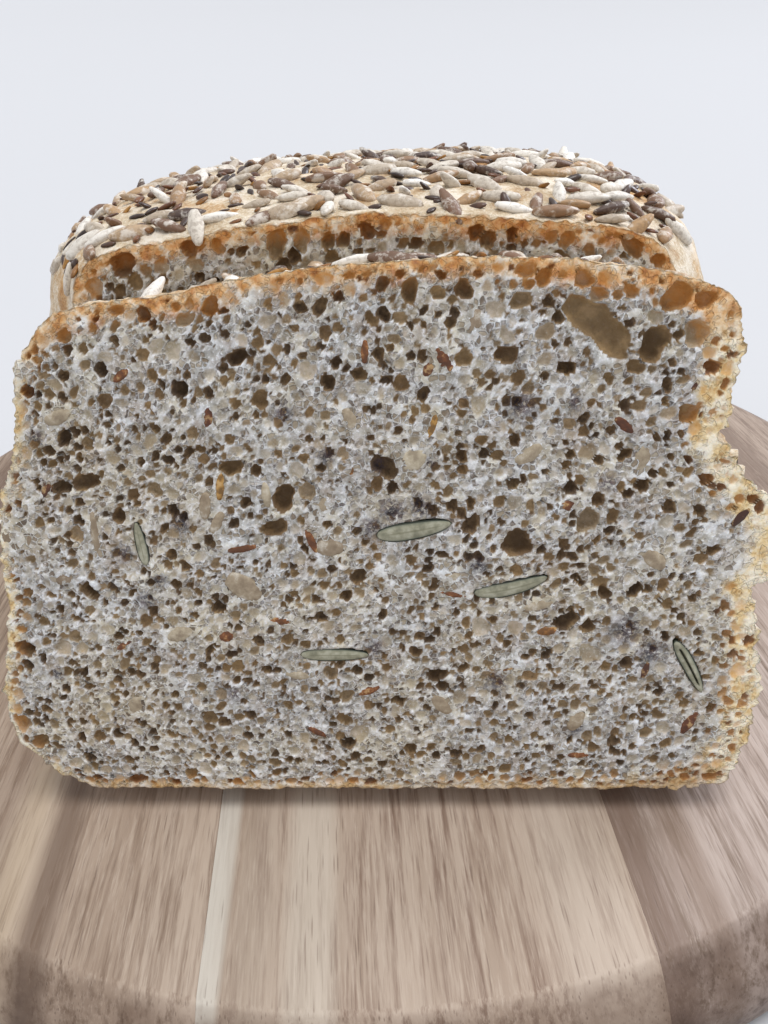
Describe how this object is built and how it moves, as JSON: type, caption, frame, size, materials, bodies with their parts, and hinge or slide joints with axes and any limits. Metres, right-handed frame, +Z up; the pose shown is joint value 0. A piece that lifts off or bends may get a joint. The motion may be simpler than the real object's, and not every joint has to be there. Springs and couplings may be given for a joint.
{
  "type": "seeded loaf on a board",
  "caption": "Seeded wholegrain loaf, cut square across, with one thick slice leaning back on the cut, standing on a round glued-up wooden cutting board.",
  "frame": {"origin": "centre of the board's underside", "axes": "+Z up; the board's staves run along Y; the slice stands at the -Y side, with its cut face towards -Y"},
  "size_m": [0.3, 0.3, 0.1177],
  "materials": {
    "heartwood_stave": "oiled acacia heartwood, satin, fine dark grain",
    "sapwood_stave": "oiled acacia with pale sapwood streaks, satin",
    "bread": "open grey-beige crumb with tan pores, floured crust, orange-brown at its edge",
    "sunflower_kernel": "toasted grey-beige sunflower kernel, dull satin",
    "pumpkin_seed": "cut pumpkin seed, pale green inside, dark green skin"
  },
  "bodies": {
    "root": {"board_stave_1": "heartwood_stave", "board_stave_2": "sapwood_stave", "board_stave_3": "heartwood_stave", "board_stave_4": "sapwood_stave", "board_stave_5": "heartwood_stave", "cut_pumpkin_seed_1": "pumpkin_seed", "cut_pumpkin_seed_2": "pumpkin_seed", "cut_pumpkin_seed_3": "pumpkin_seed", "cut_pumpkin_seed_4": "pumpkin_seed", "cut_pumpkin_seed_5": "pumpkin_seed", "loaf": "bread", "loaf_kernel_01": "sunflower_kernel", "loaf_kernel_02": "sunflower_kernel", "loaf_kernel_03": "sunflower_kernel", "loaf_kernel_04": "sunflower_kernel", "loaf_kernel_05": "sunflower_kernel", "loaf_kernel_06": "sunflower_kernel", "loaf_kernel_07": "sunflower_kernel", "loaf_kernel_08": "sunflower_kernel", "loaf_kernel_09": "sunflower_kernel", "loaf_kernel_10": "sunflower_kernel", "loaf_kernel_11": "sunflower_kernel", "loaf_kernel_12": "sunflower_kernel", "loaf_kernel_13": "sunflower_kernel", "loaf_kernel_14": "sunflower_kernel", "loaf_kernel_15": "sunflower_kernel", "loaf_kernel_16": "sunflower_kernel", "loaf_kernel_17": "sunflower_kernel", "loaf_kernel_18": "sunflower_kernel", "loaf_kernel_19": "sunflower_kernel", "loaf_kernel_20": "sunflower_kernel", "loaf_kernel_21": "sunflower_kernel", "loaf_kernel_22": "sunflower_kernel", "loaf_kernel_23": "sunflower_kernel", "loaf_kernel_24": "sunflower_kernel", "loaf_kernel_25": "sunflower_kernel", "loaf_kernel_26": "sunflower_kernel", "loaf_kernel_27": "sunflower_kernel", "loaf_kernel_28": "sunflower_kernel", "loaf_kernel_29": "sunflower_kernel", "loaf_kernel_30": "sunflower_kernel", "slice": "bread", "slice_kernel_01": "sunflower_kernel", "slice_kernel_02": "sunflower_kernel", "slice_kernel_03": "sunflower_kernel", "slice_kernel_04": "sunflower_kernel"}
  },
  "joints": []
}
